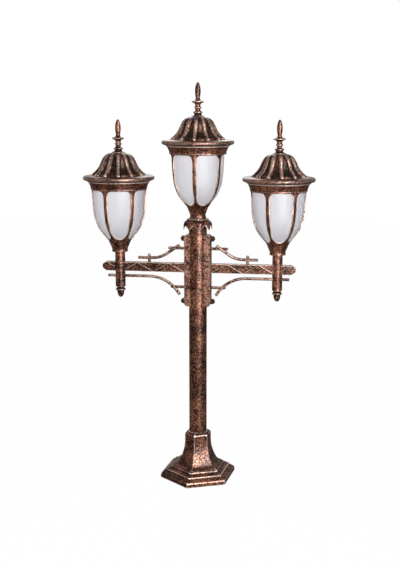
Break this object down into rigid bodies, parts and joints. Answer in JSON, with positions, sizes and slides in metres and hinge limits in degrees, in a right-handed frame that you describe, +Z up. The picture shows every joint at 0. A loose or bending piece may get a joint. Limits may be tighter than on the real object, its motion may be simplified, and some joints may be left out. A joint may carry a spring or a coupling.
{
  "type": "triple head lamp post",
  "caption": "Garden lamp post with a hexagonal cast base, round pole, straight arms with scroll rods, and urn-shaped lanterns with fluted lift-off roofs.",
  "frame": {"origin": "centre of the base's underside, on the pole's axis", "axes": "+Z up along the pole; the two arms run along X (right arm towards +X); the pictured front looks towards -Y"},
  "size_m": [0.7702, 0.2652, 1.344],
  "materials": {
    "cast_copper": "antique hammered copper over black, rubbed bright on edges",
    "steel_copper": "antique hammered copper over black",
    "opal_glass": "opal, satin",
    "zinc_steel": "zinc plated",
    "rubber_seal": "matte",
    "white_holder": "glossy white",
    "lamp_opal": "opal"
  },
  "bodies": {
    "post": {"base_cover": "cast_copper", "base_screws": "zinc_steel", "centre_cage": "cast_copper", "centre_glass": "opal_glass", "centre_holder_stem": "zinc_steel", "centre_lampholder": "white_holder", "centre_roof_gasket": "rubber_seal", "centre_stem_nuts": "zinc_steel", "crown": "cast_copper", "crown_screws": "zinc_steel", "ground_plate": "zinc_steel", "left_arm_bar": "cast_copper", "left_arm_peg": "steel_copper", "left_cage": "cast_copper", "left_drop_finial": "cast_copper", "left_glass": "opal_glass", "left_holder_stem": "zinc_steel", "left_lampholder": "white_holder", "left_lantern_tube": "steel_copper", "left_lower_peg": "steel_copper", "left_lower_rod": "steel_copper", "left_roof_gasket": "rubber_seal", "left_stem_nuts": "zinc_steel", "left_strap": "steel_copper", "left_upper_peg": "steel_copper", "left_upper_rod": "steel_copper", "pole": "steel_copper", "right_arm_bar": "cast_copper", "right_arm_peg": "steel_copper", "right_cage": "cast_copper", "right_drop_finial": "cast_copper", "right_glass": "opal_glass", "right_holder_stem": "zinc_steel", "right_lampholder": "white_holder", "right_lantern_tube": "steel_copper", "right_lower_peg": "steel_copper", "right_lower_rod": "steel_copper", "right_roof_gasket": "rubber_seal", "right_stem_nuts": "zinc_steel", "right_strap": "steel_copper", "right_upper_peg": "steel_copper", "right_upper_rod": "steel_copper", "tie_nuts": "steel_copper", "tie_rods": "steel_copper", "tie_washers": "steel_copper"},
    "centre_roof_part": {"centre_roof": "cast_copper"},
    "centre_finial_part": {"centre_finial": "cast_copper"},
    "centre_lamp": {"centre_bulb_globe": "lamp_opal", "centre_bulb_cap": "zinc_steel"},
    "left_roof_part": {"left_roof": "cast_copper"},
    "left_finial_part": {"left_finial": "cast_copper"},
    "left_lamp": {"left_bulb_globe": "lamp_opal", "left_bulb_cap": "zinc_steel"},
    "right_roof_part": {"right_roof": "cast_copper"},
    "right_finial_part": {"right_finial": "cast_copper"},
    "right_lamp": {"right_bulb_globe": "lamp_opal", "right_bulb_cap": "zinc_steel"}
  },
  "joints": [
    {"name": "centre_roof_lift", "type": "slide", "parent": "post", "child": "centre_roof_part", "axis": [0, 0, 1], "range_m": [0, 0.15]},
    {"name": "centre_finial_spin", "type": "hinge", "parent": "centre_roof_part", "child": "centre_finial_part", "pos_m": [0, 0, 1.264], "axis": [0, 0, 1], "continuous": true},
    {"name": "centre_lamp_unscrew", "type": "slide", "parent": "post", "child": "centre_lamp", "axis": [0, 0, 1], "range_m": [0, 0.03]},
    {"name": "left_roof_lift", "type": "slide", "parent": "post", "child": "left_roof_part", "axis": [0, 0, 1], "range_m": [0, 0.15]},
    {"name": "left_finial_spin", "type": "hinge", "parent": "left_roof_part", "child": "left_finial_part", "pos_m": [-0.2661, 0, 1.146], "axis": [0, 0, 1], "continuous": true},
    {"name": "left_lamp_unscrew", "type": "slide", "parent": "post", "child": "left_lamp", "axis": [0, 0, 1], "range_m": [0, 0.03]},
    {"name": "right_roof_lift", "type": "slide", "parent": "post", "child": "right_roof_part", "axis": [0, 0, 1], "range_m": [0, 0.15]},
    {"name": "right_finial_spin", "type": "hinge", "parent": "right_roof_part", "child": "right_finial_part", "pos_m": [0.2661, 0, 1.146], "axis": [0, 0, 1], "continuous": true},
    {"name": "right_lamp_unscrew", "type": "slide", "parent": "post", "child": "right_lamp", "axis": [0, 0, 1], "range_m": [0, 0.03]}
  ]
}
